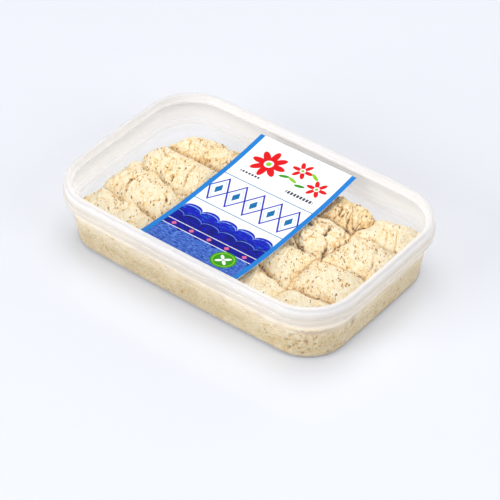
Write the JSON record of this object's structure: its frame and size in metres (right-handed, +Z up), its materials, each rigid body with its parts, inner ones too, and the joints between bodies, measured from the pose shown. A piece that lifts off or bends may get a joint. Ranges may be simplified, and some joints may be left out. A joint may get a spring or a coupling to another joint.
{
  "type": "lidded tub of sesame halva",
  "caption": "Low clear tub with rounded corners, a press-on lid with a dished panel and a printed label, filled with one layer of pulled halva pieces.",
  "frame": {"origin": "centre of the tub's footprint, on the surface it stands on", "axes": "+X along the tub's long side, +Y across it, +Z up through the lid"},
  "size_m": [0.1774, 0.1146, 0.0364],
  "materials": {
    "clear_plastic": "clear, slightly milky moulded polypropylene",
    "label_print": "satin printed paper",
    "halva": "dry, fibrous, slightly oily sesame sweet"
  },
  "bodies": {
    "root": {"tub": "clear_plastic", "lid": "clear_plastic", "label": "label_print", "halva_row1_piece1": "halva", "halva_row1_piece2": "halva", "halva_row1_piece3": "halva", "halva_row1_piece4": "halva", "halva_row1_piece5": "halva", "halva_row1_piece6": "halva", "halva_row2_piece1": "halva", "halva_row2_piece2": "halva", "halva_row2_piece3": "halva", "halva_row2_piece4": "halva", "halva_row2_piece5": "halva", "halva_row2_piece6": "halva", "halva_row3_piece1": "halva", "halva_row3_piece2": "halva", "halva_row3_piece3": "halva", "halva_row3_piece4": "halva", "halva_row3_piece5": "halva", "halva_row3_piece6": "halva", "halva_row4_piece1": "halva", "halva_row4_piece2": "halva", "halva_row4_piece3": "halva", "halva_row4_piece4": "halva", "halva_row4_piece5": "halva", "halva_row4_piece6": "halva"}
  },
  "joints": []
}
